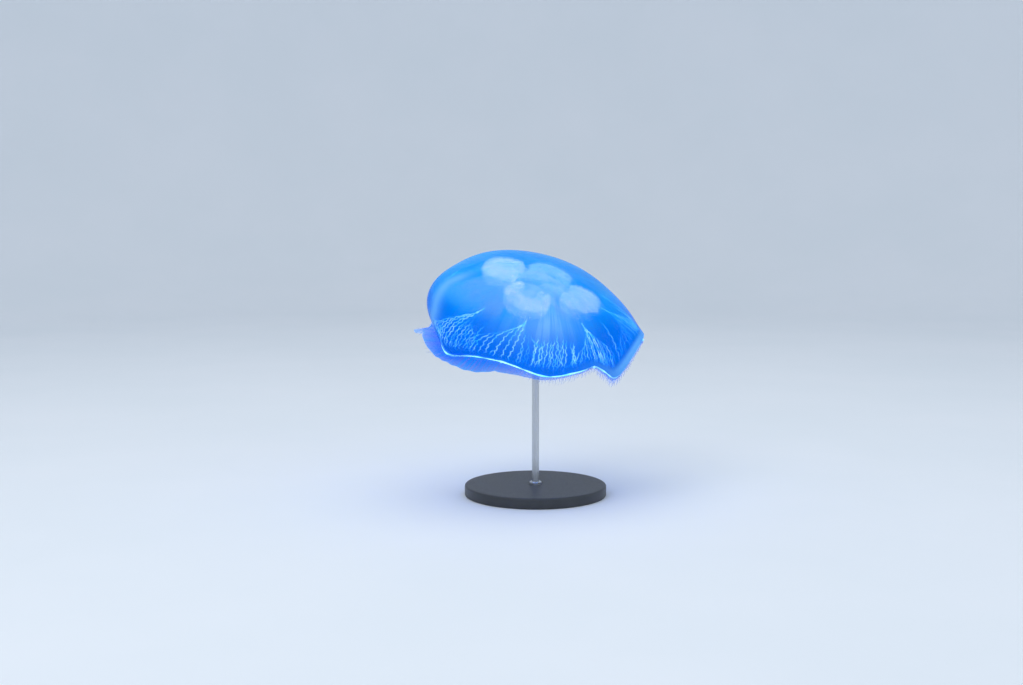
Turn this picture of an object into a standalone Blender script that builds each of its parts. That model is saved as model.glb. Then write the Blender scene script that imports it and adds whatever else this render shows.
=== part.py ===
"""A moon jellyfish in mid pulse, life size, held still on a plain display stand.

The animal is laid out in its own frame, with the bell's axis along Z and the margin near z = 0.
An empty then leans it and lifts it over the stand. Lengths are metres and angles are degrees.
"""
import bpy
import bmesh
from math import atan2, cos, exp, floor, pi, radians, sin
from mathutils import Matrix, Vector

# ---- the bell
BELL_R = 0.1226           # mean radius of the margin: a grown animal, about 0.25 m across
BELL_RISE = 0.516         # height of the top over the margin, in radii
TOP_SHIFT = (-0.086, -0.003)   # the top leans back from the relaxed side, in radii
SPREAD = ((0.0, -0.027), (-0.035, 0.018), (-0.005, 0.0))      # margin's reach, cos and sin
RIDE = ((0.140, -0.047), (0.044, -0.083), (0.046, 0.022))     # margin's height, cos and sin
CLOSE = 84.6              # how far round the flank closes in: past 90 the margin is drawn under
CLOSE_WAVES = ((-23.3, 17.3), (-6.1, 22.5))
TUCK_AT, TUCK_WIDE = 185.0, 28.0        # where the margin is tucked further in under the flank
TUCK = (12.0, 0.080)      # by so many degrees more, and so many radii
JELLY_TOP = 0.155         # thickness of the jelly at the top, in radii
JELLY_MARGIN = 0.0017     # and at the margin, in metres
# ---- the margin's eight lappets, parted by eight notches
TURN = 72.0               # azimuth of the first gonad; every organ keeps to eighths from it
NOTCH_0 = TURN + 225.0
LAPPET_DEPTH = 0.015
LAPPET_SAG = (0.188, 0.035, 0.035, 0.035, 0.035, 0.023, 0.096, 0.057)   # in radii
LAPPET_SKEW = (-1.9, 0.0, 0.0, 0.0, 0.0, -1.8, -7.5, 0.0)
LAPPET_WIDTH = 12.0
LAPPET_ROUND = 0.7        # under 1 makes the lappets squarer
FOLD = 0.0225             # the margin is pinched up at the first notch
FOLD_WIDTH = 4.6
LOOSE_FROM = 0.55         # share of the way to the margin past which the flank sags and folds
LAPPET_FROM = 0.58        # share of the way to the margin where the lappets start
# ---- the organs below
GONAD_R = (0.355, 0.325, 0.355, 0.355)   # distance of each gonad from the axis, in radii
GONAD_RING = 0.0170       # radius of its horseshoe
GONAD_ROLL = (0.0080, 0.0060)   # half width and half height of the roll
GONAD_OPEN = 40.0         # the horseshoe is open towards the mouth
GONAD_RUFFLE = (0.07, 9.0)      # share of its radius, and waves round
GONAD_ENDS = 0.62         # thickness at its two ends
MOUTH_HALF = 0.0115       # half width of the square mouth tube
MOUTH_DROP = 0.0150
ARM_LONG = (0.63, 0.56, 0.55, 0.60)   # length of each oral arm, in radii
ARM_HANG = (32.0, 103.0)   # angles under level at which an arm leaves the mouth and ends
ARM_WIDTH = 0.0180        # half width that its taper scales
ARM_SHEET = 0.0012
ARM_KEEL = (0.5, 0.7, 1.6, 0.7, 0.5)   # thickness over the sheet, from edge to edge
ARM_FRILL = 0.0030
ARM_SWAY = 0.16
ARM_CUTS = (0.0, 0.36, 0.68, 1.0)
FRINGE_ROOT = 0.0011      # thickness of the curtain of tentacles where it hangs from the margin
FRINGE_TIP = 0.0007
FRINGE_LONG = 0.0105      # length where the tentacles hang
FRINGE_TRAIL = 0.0200     # and how much more where they are flung up
FRINGE_TEETH = 10         # bundles of tentacles under each lappet
DRIFT_AT, DRIFT_WIDE = 232.0, 38.0      # where the tentacles drift aside
FLUNG_AT, FLUNG_WIDE = 201.0, 22.0      # and where they are flung up
DRIFT_TURN = 0.75         # how far the drifting ones are turned square to the margin
# ---- pose and stand
LEAN_RIGHT = 17.1
LEAN_FRONT = 18.2
HANG = 0.196              # height of the bell's frame over the floor
BASE_R = 0.080
BASE_H = 0.012
BASE_BEVEL = 0.0018
ROD_R = 0.0040
PAD_R = 0.0085
PAD_H = 0.0040
GAP = 0.0003              # clear space between neighbouring pieces
ROUND = 64                # facets round the bell
SHARP = radians(50.0)     # edges that turn by more are drawn sharp


# ---- measures of the bell
def wave(az, terms):
    return sum(c * cos(k * az) + s * sin(k * az) for k, (c, s) in enumerate(terms, 1))


def away(az, centre):
    """Signed angle from a centre given in degrees."""
    return (az - radians(centre) + pi) % (2 * pi) - pi


def hump(az, centre, width):
    return exp(-(away(az, centre) / radians(width)) ** 2)


def lappet_drop(az):
    """How far the margin hangs below its smooth line, in radii."""
    scallop = LAPPET_DEPTH * abs(sin(4 * (az - radians(NOTCH_0)))) ** LAPPET_ROUND
    sag = sum(deep * hump(az, NOTCH_0 + 22.5 + 45 * k + skew, LAPPET_WIDTH)
              for k, (deep, skew) in enumerate(zip(LAPPET_SAG, LAPPET_SKEW)))
    return scallop + sag - FOLD * hump(az, NOTCH_0, FOLD_WIDTH)


def outer(s, az):
    """Point of the bell's upper surface, s from 0 at the top to 1 at the margin."""
    tuck = hump(az, TUCK_AT, TUCK_WIDE)
    close = radians(CLOSE + wave(az, CLOSE_WAVES) + TUCK[0] * tuck)
    out = sin(s * close) / sin(close)
    up = (cos(s * close) - cos(close)) / (1 - cos(close))
    ride = wave(az, RIDE)
    reach = (1 + wave(az, SPREAD) - TUCK[1] * tuck) * out
    loose = max(0.0, (s - LOOSE_FROM) / (1 - LOOSE_FROM)) ** 2
    reach -= 0.5 * FOLD * hump(az, NOTCH_0, FOLD_WIDTH) * loose
    return BELL_R * Vector((reach * cos(az) + TOP_SHIFT[0] * up,
                            reach * sin(az) + TOP_SHIFT[1] * up,
                            ride + (BELL_RISE - ride) * up - lappet_drop(az) * loose))


def outward(s, az):
    """Unit normal of the upper surface."""
    if s < 0.02:
        return sum((outward(0.03, az + k * pi / 4) for k in range(8)), Vector()).normalized()
    down = outer(min(s + 0.004, 1.0), az) - outer(s - 0.004, az)
    along = outer(s, az + 0.004) - outer(s, az - 0.004)
    return down.cross(along).normalized()


def jelly(s):
    """Thickness of the jelly."""
    return JELLY_MARGIN + (JELLY_TOP * BELL_R - JELLY_MARGIN) * (1 - s * s) ** 1.5


def inner(s, az, below=0.0):
    """Point of the bell's under surface, or a little below it."""
    return outer(s, az) - outward(s, az) * (jelly(s) + below)


def ceiling(x, y, below=0.0):
    """Point under the bell at a given place across, found by closing in on it."""
    across = Vector((0.05, 0.0))
    for _ in range(30):
        here = inner(across.length, atan2(across.y, across.x), below)
        across += Vector((x - here.x, y - here.y)) / (1.35 * BELL_R)
        if across.length > 0.95:
            across *= 0.95 / across.length
    return inner(across.length, atan2(across.y, across.x), below)


# ---- making pieces
def finish(name, colour, rough, metal=0.0):
    mat = bpy.data.materials.new(name)
    mat.use_nodes = True
    shader = mat.node_tree.nodes["Principled BSDF"]
    shader.inputs["Base Color"].default_value = (*colour, 1.0)
    shader.inputs["Roughness"].default_value = rough
    shader.inputs["Metallic"].default_value = metal
    return mat


def keep(name, work, mat, holder=None):
    """Turn a worked mesh into a named piece, smooth but for its sharp edges."""
    bmesh.ops.recalc_face_normals(work, faces=work.faces[:])
    mesh = bpy.data.meshes.new(name)
    work.to_mesh(mesh)
    work.free()
    mesh.shade_smooth()
    mesh.set_sharp_from_angle(angle=SHARP)
    mesh.materials.append(mat)
    obj = bpy.data.objects.new(name, mesh)
    bpy.context.scene.collection.objects.link(obj)
    if holder:
        obj.parent = holder


def piece(name, verts, faces, mat, holder=None):
    work = bmesh.new()
    points = [work.verts.new(v) for v in verts]
    for face in faces:
        work.faces.new([points[k] for k in face])
    keep(name, work, mat, holder)


def slab(front, back):
    """Closed body between two grids of points that face each other."""
    rows, cols = len(front), len(front[0])
    verts = [p for row in front for p in row] + [p for row in back for p in row]
    one = lambda i, j: i * cols + j
    two = lambda i, j: rows * cols + i * cols + j
    faces = []
    for i in range(rows - 1):
        for j in range(cols - 1):
            faces.append((one(i, j), one(i, j + 1), one(i + 1, j + 1), one(i + 1, j)))
            faces.append((two(i, j), two(i + 1, j), two(i + 1, j + 1), two(i, j + 1)))
    for j in range(cols - 1):
        for i in (0, rows - 1):
            faces.append((one(i, j), one(i, j + 1), two(i, j + 1), two(i, j)))
    for i in range(rows - 1):
        for j in (0, cols - 1):
            faces.append((one(i, j), one(i + 1, j), two(i + 1, j), two(i, j)))
    return verts, faces


def tube(rings):
    """Closed body through rings of points, capped at both ends."""
    around = len(rings[0])
    verts = [p for ring in rings for p in ring]
    faces = [(i * around + j, i * around + (j + 1) % around,
              (i + 1) * around + (j + 1) % around, (i + 1) * around + j)
             for i in range(len(rings) - 1) for j in range(around)]
    faces.append(tuple(range(around)))
    faces.append(tuple(range((len(rings) - 1) * around, len(rings) * around)))
    return verts, faces


# ---- the bell
def bell_crown(holder, mat):
    """The thick middle of the bell, from its top to where the lappets start."""
    turns = [radians(NOTCH_0) + 2 * pi * k / ROUND for k in range(ROUND)]
    shares = [LAPPET_FROM * (k / 7) ** 0.85 for k in range(1, 8)]
    over = [[outer(s, az) for az in turns] for s in shares]
    under = [[inner(s, az) for az in turns] for s in reversed(shares[1::2] + shares[-1:])]
    rings = over + under
    verts = [p for ring in rings for p in ring] + [outer(0, 0), inner(0, 0)]
    top, low, last = len(verts) - 2, len(verts) - 1, (len(rings) - 1) * ROUND
    faces = []
    for i in range(len(rings) - 1):
        for j in range(ROUND):
            k = (j + 1) % ROUND
            faces.append((i * ROUND + j, i * ROUND + k, (i + 1) * ROUND + k, (i + 1) * ROUND + j))
    for j in range(ROUND):
        k = (j + 1) % ROUND
        faces.append((top, j, k))
        faces.append((low, last + k, last + j))
    piece("bell_crown", verts, faces, mat, holder)


def lappet(number, holder, mat):
    """One eighth of the flank and margin."""
    start = radians(NOTCH_0 + 45 * number)
    cols = ROUND // 8
    inset = 0.5 * GAP / (0.8 * BELL_R)
    turns = [start + inset + (pi / 4 - 2 * inset) * j / cols for j in range(cols + 1)]
    turns[1:-1] = [start + (pi / 4) * j / cols for j in range(1, cols)]
    step = GAP / (1.2 * BELL_R)
    shares = [LAPPET_FROM + step + (1 - LAPPET_FROM - step) * (i / 6) ** 0.9 for i in range(7)]
    over = [[outer(s, az) for az in turns] for s in shares]
    under = [[inner(s, az) for az in turns] for s in shares]
    piece(f"bell_lappet_{number + 1}", *slab(over, under), mat, holder)


def margin(az, side):
    """Point on the margin's facets, over (outer) or under (inner)."""
    step = 2 * pi / ROUND
    place = (az - radians(NOTCH_0)) / step
    first = radians(NOTCH_0) + step * floor(place)
    return side(1, first).lerp(side(1, first + step), place - floor(place))


def drift(az):
    """Where along the margin the tentacles drift aside instead of hanging."""
    return exp(-(away(az, DRIFT_AT) / radians(DRIFT_WIDE)) ** 4)


def flow(az):
    """Direction in which the curtain of tentacles trails from the margin, and across its thickness."""
    along = (outer(1, az + 0.01) - outer(1, az - 0.01)).normalized()
    hang = Vector((0.28 * cos(az), 0.28 * sin(az), -0.95)).normalized()
    aside = Vector((-0.90, 0.10, 0.62 * hump(az, FLUNG_AT, FLUNG_WIDE) - 0.5)).normalized()
    way = hang.lerp(aside, drift(az)).normalized()
    way = (way - along * way.dot(along) * DRIFT_TURN * drift(az)).normalized()
    return way, way.cross(along).normalized()


def fringe_length(az):
    notch = abs(sin(4 * (az - radians(NOTCH_0)))) ** 0.5
    long = FRINGE_LONG + FRINGE_TRAIL * hump(az, FLUNG_AT, FLUNG_WIDE)
    return long * (0.55 + 0.45 * notch) * (1 + 0.06 * sin(5 * az))


def tentacle_fringe(number, holder, mat):
    """The tentacles under one lappet, drawn together in pointed bundles."""
    start = radians(NOTCH_0 + 45 * number)
    inset = 0.5 * GAP / (0.8 * BELL_R)
    width = (pi / 4 - 2 * inset) / FRINGE_TEETH
    half = 0.10 * width
    cols = []
    for k in range(FRINGE_TEETH):
        left = start + inset + k * width
        cols += [(left, 0.34), (left + 0.5 * width - half, 1.0), (left + 0.5 * width + half, 1.0)]
    cols.append((start + inset + FRINGE_TEETH * width, 0.34))
    over, under = [[], []], [[], []]
    for n, (az, share) in enumerate(cols):
        way, thick = flow(az)
        edge = max(0.0, min(1.0, 0.5 - way.dot(outward(1, az))))
        root = margin(az, outer).lerp(margin(az, inner), edge) + way * (GAP + 0.0003)
        curl = 0.0012 * sin(7.0 * n + 2.0 * number)
        tip = root + way * fringe_length(az) * share * (1 + 0.10 * sin(5.0 * n)) + thick * curl * share
        for row, (at, size) in enumerate(((root, FRINGE_ROOT), (tip, FRINGE_TIP))):
            over[row].append(at + thick * size / 2)
            under[row].append(at - thick * size / 2)
    piece(f"tentacle_fringe_{number + 1}", *slab(over, under), mat, holder)


# ---- the organs
def organ_middle():
    """Where the organs are centred under the bell."""
    low = inner(0, 0)
    return Vector((low.x * 0.98, low.y * 0.98, 0))


def gonad(number, holder, mat):
    """A horseshoe roll close under the bell, open towards the mouth."""
    face = radians(TURN + 90 * number)
    centre = organ_middle() + GONAD_R[number] * BELL_R * Vector((cos(face), sin(face), 0))
    rings = []
    wide, high = GONAD_ROLL
    count = 16
    for k in range(count):
        turn = face + pi + radians(GONAD_OPEN) + (2 * pi - 2 * radians(GONAD_OPEN)) * k / (count - 1)
        ruffle = 1 + GONAD_RUFFLE[0] * sin(GONAD_RUFFLE[1] * turn)
        ends = GONAD_ENDS + (1 - GONAD_ENDS) * sin(pi * k / (count - 1)) ** 0.5
        out = Vector((cos(turn), sin(turn), 0))
        at = centre + out * GONAD_RING * ruffle
        roof = ceiling(at.x, at.y)
        side = (ceiling(at.x + out.x * 0.002, at.y + out.y * 0.002) - roof).normalized()
        along = Vector((0, 0, 1)).cross(out).normalized()
        down = along.cross(side).normalized()
        if down.z > 0:
            down = -down
        mid = roof + down * (high * ends + 2.6 * GAP)
        rings.append([mid + side * wide * ends * cos(a) + down * high * ends * sin(a)
                      for a in (2 * pi * j / 6 for j in range(6))])
    piece(f"gonad_{number + 1}", *tube(rings), mat, holder)


def mouth_square(half, round_off):
    """Corners of the mouth tube, which point along the four arms."""
    points = []
    for k in range(4):
        az = radians(TURN + 45 + 90 * k)
        for turn, reach in ((-0.5 * round_off, 0.93), (0.0, 1.0), (0.5 * round_off, 0.93)):
            points.append(half * reach * Vector((cos(az + turn), sin(az + turn), 0)))
    return points


def mouth_top():
    middle = organ_middle()
    return ceiling(middle.x, middle.y, 3.0 * GAP)


def mouth(holder, mat):
    """The short square tube that hangs from the middle of the bell."""
    top = mouth_top()
    rings = []
    for k, (drop, half) in enumerate(((0.0, 1.25), (0.25, 1.0), (0.7, 0.92), (1.0, 1.0))):
        ring = mouth_square(MOUTH_HALF * half, 0.5)
        if k == 0:
            rings.append([ceiling(top.x + p.x, top.y + p.y, 3.0 * GAP) for p in ring])
        else:
            rings.append([Vector((top.x, top.y, top.z - MOUTH_DROP * drop)) + p for p in ring])
    piece("mouth_tube", *tube(rings), mat, holder)


def arm_path(number, t):
    """Centre line of an oral arm, out from a corner of the mouth and then trailing down."""
    az = radians(TURN + 45 + 90 * number) + ARM_SWAY * sin(2.6 * t + 1.7 * number) * t
    top = mouth_top()
    start = Vector((top.x, top.y, top.z - MOUTH_DROP * 0.86))
    leave, end = (radians(a) for a in ARM_HANG)
    bend = end - leave
    long = ARM_LONG[number] * BELL_R
    r = MOUTH_HALF + 0.0004 + long * (sin(leave + bend * t) - sin(leave)) / bend
    drop = long * (cos(leave) - cos(leave + bend * t)) / bend
    return start + Vector((cos(az), sin(az), 0)) * r - Vector((0, 0, drop))


def oral_arm(number, holder, mat):
    """A folded, frilled ribbon with a thick keel outside, in three lengths."""
    names = ("base", "middle", "tip")
    steps = 6
    around = radians(TURN + 45 + 90 * number)
    side = Vector((-sin(around), cos(around), 0))
    long = ARM_LONG[number] * BELL_R
    for part, (low, high) in enumerate(zip(ARM_CUTS, ARM_CUTS[1:])):
        low_t = low + (0.5 * GAP / long if part else 0.0)
        high_t = high - (0.5 * GAP / long if part < 2 else 0.0)
        over, under = [], []
        for k in range(steps + 1):
            t = low_t + (high_t - low_t) * k / steps
            here = arm_path(number, t)
            ahead = (arm_path(number, t + 0.01) - arm_path(number, t - 0.01)).normalized()
            up = ahead.cross(side).normalized()
            wide = ARM_WIDTH * (0.40 + 1.6 * t * (1 - t)) * (1 - 0.75 * t ** 1.8)
            grow = min(1.0, 4 * t + 0.05) * (1 - 0.5 * t)
            frill = ARM_FRILL * sin(2 * pi * 3.4 * t + number) * grow
            other = ARM_FRILL * sin(2 * pi * 3.1 * t + number + 2.0) * grow
            fold = 0.62 * wide
            line = [here - side * wide - up * (fold + frill),
                    here - side * 0.55 * wide - up * (0.34 * fold + 0.3 * frill),
                    here,
                    here + side * 0.55 * wide - up * (0.34 * fold + 0.3 * other),
                    here + side * wide - up * (fold + other)]
            over.append([p + up * ARM_SHEET * w for p, w in zip(line, ARM_KEEL)])
            under.append([p - up * ARM_SHEET * 0.5 for p in line])
        piece(f"oral_arm_{number + 1}_{names[part]}", *slab(over, under), mat, holder)


# ---- the stand
def pose():
    """The animal's place and lean, with its mouth right over the middle of the base."""
    lean = Matrix.Rotation(radians(LEAN_FRONT), 3, "X") @ Matrix.Rotation(radians(LEAN_RIGHT), 3, "Y")
    top = mouth_top()
    foot = Vector((top.x, top.y, top.z - MOUTH_DROP - GAP))
    shift = lean @ foot
    return lean, Vector((-shift.x, -shift.y, HANG)), foot


def turned(profile, count):
    """A body turned on a lathe from radii and heights, closed on its axis."""
    work = bmesh.new()
    line = [work.verts.new((radius, 0.0, z)) for radius, z in profile]
    edges = [work.edges.new(pair) for pair in zip(line, line[1:])]
    bmesh.ops.spin(work, geom=line + edges, cent=(0, 0, 0), axis=(0, 0, 1), angle=2 * pi,
                   steps=count, use_merge=True)
    bmesh.ops.remove_doubles(work, verts=work.verts[:], dist=0.00001)
    return work


def stand_base(mat):
    """A round plate with a bevelled edge."""
    profile = ((0.0, 0.0), (BASE_R - 0.7 * BASE_BEVEL, 0.0), (BASE_R, 0.7 * BASE_BEVEL),
               (BASE_R, BASE_H - BASE_BEVEL), (BASE_R - BASE_BEVEL, BASE_H), (0.0, BASE_H))
    keep("stand_base", turned(profile, 64), mat)


def stand_pad(mat):
    """A small round pad, square to the animal, on which its mouth tube sits."""
    lean, place, foot = pose()
    profile = ((0.0, -PAD_H), (ROD_R * 1.15, -PAD_H), (PAD_R * 0.82, -0.55 * PAD_H),
               (PAD_R, -0.25 * PAD_H), (PAD_R, 0.0), (0.0, 0.0))
    work = turned(profile, 24)
    for vert in work.verts:
        vert.co = place + lean @ (foot + vert.co)
    keep("stand_pad", work, mat)


def stand_rod(mat):
    """One upright rod, its upper end cut to meet the tilted pad."""
    lean, place, foot = pose()
    normal = lean @ Vector((0, 0, 1))
    seat = place + lean @ (foot - Vector((0, 0, PAD_H + GAP)))
    work = bmesh.new()
    bmesh.ops.create_cone(work, cap_ends=True, segments=24, radius1=ROD_R, radius2=ROD_R, depth=1.0)
    for vert in work.verts:
        if vert.co.z < 0:
            vert.co.z = BASE_H + GAP
        else:
            vert.co.z = (seat - Vector((vert.co.x, vert.co.y, 0))).dot(normal) / normal.z
    keep("stand_rod", work, mat)


def build():
    for obj in list(bpy.data.objects):
        bpy.data.objects.remove(obj, do_unlink=True)
    lean, place, _ = pose()
    holder = bpy.data.objects.new("animal_frame", None)
    bpy.context.scene.collection.objects.link(holder)
    holder.matrix_world = Matrix.Translation(place) @ lean.to_4x4()
    blue = finish("bell jelly", (0.10, 0.42, 0.95), 0.18)
    bell_crown(holder, blue)
    for k in range(8):
        lappet(k, holder, finish(f"lappet jelly {k + 1}", (0.11, 0.46, 0.97), 0.2))
        tentacle_fringe(k, holder, finish(f"tentacles {k + 1}", (0.45, 0.68, 0.98), 0.35))
    for k in range(4):
        gonad(k, holder, finish(f"gonad {k + 1}", (0.72, 0.86, 1.0), 0.4))
        oral_arm(k, holder, finish(f"oral arm {k + 1}", (0.55, 0.74, 1.0), 0.35))
    mouth(holder, finish("mouth tube", (0.50, 0.70, 1.0), 0.35))
    steel = finish("stand steel", (0.045, 0.047, 0.052), 0.42, 0.6)
    stand_base(steel)
    stand_pad(finish("stand pad", (0.05, 0.05, 0.055), 0.4, 0.6))
    stand_rod(finish("stand rod steel", (0.05, 0.05, 0.055), 0.35, 0.7))


build()
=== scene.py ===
"""A moon jellyfish, life size, on a plain display stand.

The animal is laid out in its own frame, with the bell's axis along Z, and its pose then leans and
lifts it over the stand. Lengths are metres, where no other measure is named. Angles in the
constants are degrees, elsewhere radians.
"""
import random
from math import cos, pi, radians, sin

import bpy
import numpy as np
from mathutils import Matrix, Vector


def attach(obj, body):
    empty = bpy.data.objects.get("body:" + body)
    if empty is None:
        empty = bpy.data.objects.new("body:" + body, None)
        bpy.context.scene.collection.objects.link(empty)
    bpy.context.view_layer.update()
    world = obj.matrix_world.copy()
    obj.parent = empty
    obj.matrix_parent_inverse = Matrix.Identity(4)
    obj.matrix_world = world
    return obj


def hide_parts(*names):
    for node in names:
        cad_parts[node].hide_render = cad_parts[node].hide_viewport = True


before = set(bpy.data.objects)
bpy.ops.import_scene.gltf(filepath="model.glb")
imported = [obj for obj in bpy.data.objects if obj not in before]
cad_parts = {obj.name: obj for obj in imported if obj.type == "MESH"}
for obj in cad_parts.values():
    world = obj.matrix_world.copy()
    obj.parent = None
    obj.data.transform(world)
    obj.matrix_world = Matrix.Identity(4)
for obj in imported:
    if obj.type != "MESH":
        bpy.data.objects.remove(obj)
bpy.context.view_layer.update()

# ---- the animal and its stand, as the solids have them
BELL_R = 0.1226  # mean radius of the margin
BELL_RISE = 0.516  # height of the top over the margin, in radii
TOP_SHIFT = (-0.086, -0.003)  # how far the top leans aside, in radii
SPREAD = ((0.0, -0.027), (-0.035, 0.018), (-0.005, 0.0))  # margin's reach, cos and sin
RIDE = ((0.140, -0.047), (0.044, -0.083), (0.046, 0.022))  # margin's height, cos and sin
CLOSE = 84.6  # how far round the flank closes in
CLOSE_WAVES = ((-23.3, 17.3), (-6.1, 22.5))  # and how that changes round the bell
TUCK_AT, TUCK_WIDE = 185.0, 28.0  # where the margin is tucked further in under the flank
TUCK = (12.0, 0.080)  # by so many degrees more, and so many radii
JELLY_TOP = 0.155  # thickness of the jelly at the top, in radii
JELLY_MARGIN = 0.0017  # and at the margin, in metres
TURN = 72.0  # azimuth of the first gonad: every organ keeps to eighths from it
NOTCH_0 = TURN + 225.0
LAPPET_DEPTH = 0.015  # how far a lappet hangs below its notches, in radii
LAPPET_SAG = (0.188, 0.035, 0.035, 0.035, 0.035, 0.023, 0.096, 0.057)  # and sags, one by one
LAPPET_SKEW = (-1.9, 0.0, 0.0, 0.0, 0.0, -1.8, -7.5, 0.0)  # how far off its middle
LAPPET_WIDTH = 12.0  # and how wide the sag is
LAPPET_ROUND = 0.7  # under 1 makes the lappets squarer
FOLD = 0.0225  # how far the margin is pinched up at the first notch, in radii
FOLD_WIDTH = 4.6
LOOSE_FROM = 0.55  # share of the way to the margin past which the flank sags
GONAD_RING = 0.0170  # radius of a gonad's horseshoe
GONAD_OPEN = 40.0  # half its gap, which is open towards the mouth
MOUTH_HALF = 0.0115  # half width of the square mouth tube
MOUTH_DROP = 0.0150  # and its length
ORGANS_LEAN = 0.98  # share of the top's lean that the organs follow
ARM_LONG = (0.63, 0.56, 0.55, 0.60)  # length of each oral arm, in radii
ARM_HANG = (32.0, 103.0)  # angles under level at which an arm leaves the mouth and ends
ARM_WIDTH = 0.0180  # half width that its taper scales
ARM_SWAY = 0.16  # how far an arm curves aside, in radians
FRINGE_LONG = 0.0105  # length where the tentacles hang
FRINGE_TRAIL = 0.0200  # and how much more where they are flung up
DRIFT_AT, DRIFT_WIDE = 232.0, 38.0  # where the tentacles drift aside
FLUNG_AT, FLUNG_WIDE = 201.0, 22.0  # and where they are flung up
DRIFT_TURN = 0.75  # how far the drifting ones are turned square to the margin
LEAN_RIGHT = 17.1  # how far the whole animal leans
LEAN_FRONT = 18.2
HANG = 0.196  # height of the bell's frame over the floor
BASE_R, BASE_H = 0.080, 0.012
BASE_ROUND = (0.0013, 0.0018)  # how far its rim is rounded, below and above
ROD_R = 0.0040
COLLAR_R = 0.0068  # where the rod meets the base
PAD_R, PAD_H = 0.0085, 0.0040
GAP = 0.0003  # clear space between neighbouring pieces
UNDER_JELLY = 3.0 * GAP  # clear space over the mouth
# ---- the skin, its markings and its painted sheen streak: shares down the bell, azimuths and widths
SKIN_ROUND, SKIN_DOWN = 384, 110  # facets of the skin round the bell and from top to margin
EDGE_DOWN, EDGE_ROUND = (0.94, 0.97), (330.0, 24.0)  # the milky edge
MILK_DOWN, MILK_ROUND = (0.61, 0.17), (273.0, 21.0)  # the milky middle beside the mouth
DENSE_DOWN, DENSE_ROUND = (0.35, 0.55), (100.0, 110.0)  # the denser jelly of the far flank
SHEEN_DOWN, SHEEN_ROUND = (0.50, 0.72), (205.0, 211.5)  # the course of the painted sheen streak down one shoulder, a pale line with no fold under it
SHEEN_SOFT = 4.6  # its width
# ---- the gonads, thicker than the solids and sunk into the jelly, and the stomach's pouches
GONAD_R = (0.340, 0.325, 0.382, 0.370)  # distance of each gonad from the axis, in radii
GONAD_ROLL = (0.0080, 0.0110)  # half width and half height of the roll
GONAD_SINK = (0.0085, 0.0112, 0.0088, 0.0088)  # how far each is sunk
GONAD_GLOW = (0.20, 0.90, 1.0, 0.75)  # and how full it is
SHEATHS = ((1.10, 0.50), (1.20, 0.34), (1.30, 0.20))  # girth and cover of the soft layers round it
POUCH_R, POUCH_H = 0.033, 0.0105  # reach and height of a pouch
POUCH_DENSE = (0.7, 1.0, 1.0, 0.85)
STOMACH = ((0.0, 0.030, 1.0), (0.22, 0.022, 0.9))  # place in front in radii, reach and density
# ---- the canals: one branching fan for each eighth of the bell
CANAL_ROOT = (0.53, 0.56, 0.53, 0.47, 0.53, 0.61, 0.56, 0.56)  # share down the bell where each begins
CANAL_LAST = (0.955, 0.955, 0.955, 0.950, 0.978, 0.955, 0.955, 0.955)  # and where it fades
CANAL_SIDE = (8, 8, 8, 8, 6, 8, 8, 8)  # canals that leave it to each side
CANAL_STRONG = (1, 1, 0, -1, -1, 1, 1, 1)  # the side whose first few are full
CANAL_SPREAD = (21.5, 21.5, 21.5, 15.0, 21.5, 19.0, 21.5, 21.5)  # how far they spread to each side
CANAL_TURN = ((0, 0), (0, 0), (0, 0), (17, 11), (0, 0), (3, 0), (0, 0), (0, 0))  # its turn, at root and end
CANAL_FULL = (0.8, 0.8, 0.45, 1.0, 1.0, 1.0, 0.45, 0.5)  # and how full it is
CANAL_R = 0.00056  # radius of a canal's trunk
CANAL_END = 0.955  # share of the way to the margin where canals end
CANAL_STEP = 0.0045  # share between their points
CANAL_FORK = (0.015, 0.060)  # least and most share between one fork and the next
CANAL_DEEP = 0.00015  # how deep they lie in the jelly
CANAL_HASTE = 4.5  # how soon a canal draws level with its end
CANAL_SWAY = 0.0062  # how far they waver, in radians
CANAL_SPLIT = 0.4  # share of them that split again
CANAL_SWIRL = (8.0, 3.0)  # how far they are turned past the organs, inside and outside
CANAL_FILLS = (0.62, 0.15)  # share down the bell from which side canals fill, and over how much
CANAL_LINKS = 0.7  # share of neighbouring canals that are linked
LOOSE_FAN, LOOSE_WIDE, LOOSE_CANALS = 4, 12.0, 13  # loose ones: after which fan, how wide, how many
# ---- the margin
CORD_R = 0.00085  # radius of the cord round the margin
CORD_FRONT = (238.0, 42.0)  # where it is full, and how wide
CORD_MORE = ((284.0, 13.0, 0.55), (307.0, 7.0, 0.60))  # where else, how wide and how full
CORD_DIM = (297.0, 4.0)  # where it dims
CORD_BOLD = (222.0, 9.0)  # and where it is thickest
BULB_R, BULB_LONG = 0.0016, 0.0014  # girth and half length of a sense bulb
BULB_OUT = 0.0009  # how far out of its notch its middle stands
ROOT_OUT = 0.25  # share across the lip at which veil and tentacles spring
VEIL_LONG = (0.30, 0.62, 0.40, 0.28)  # against the fringe: least, and more by drift, milk and fling
VEIL_MILKY = (130.0, 72.0)  # where the veil under the margin is milky, and how wide
VEIL_SHORT = (223.0, 13.0)  # where it is short
VEIL_DEEP = (243.0, 17.0)  # where it hangs deepest
VEIL_MORE = 0.0100  # and how much longer it is there
TENTACLE_R = 0.00024  # radius at the root
TENTACLES = 110  # under each lappet
TENTACLE_LONG = (0.62, 1.08)  # least and most length, against the fringe's
TENTACLE_LEAN = 0.16  # most that they lean along the margin
TENTACLE_SWAY = (0.0004, 0.0010)  # least and most that they waver
# ---- the oral arms
ARM_BROAD, ARM_FRILL, ARM_LACE = 0.0030, 0.0017, 0.0007  # heights of their three kinds of wave
ARM_KEEL, ARM_EDGE = 0.0019, 0.0005  # thickness that the keel adds, and thickness of the edge
FRILLS = 12.0  # along an arm
SEED = 7  # of all random draws
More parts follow.
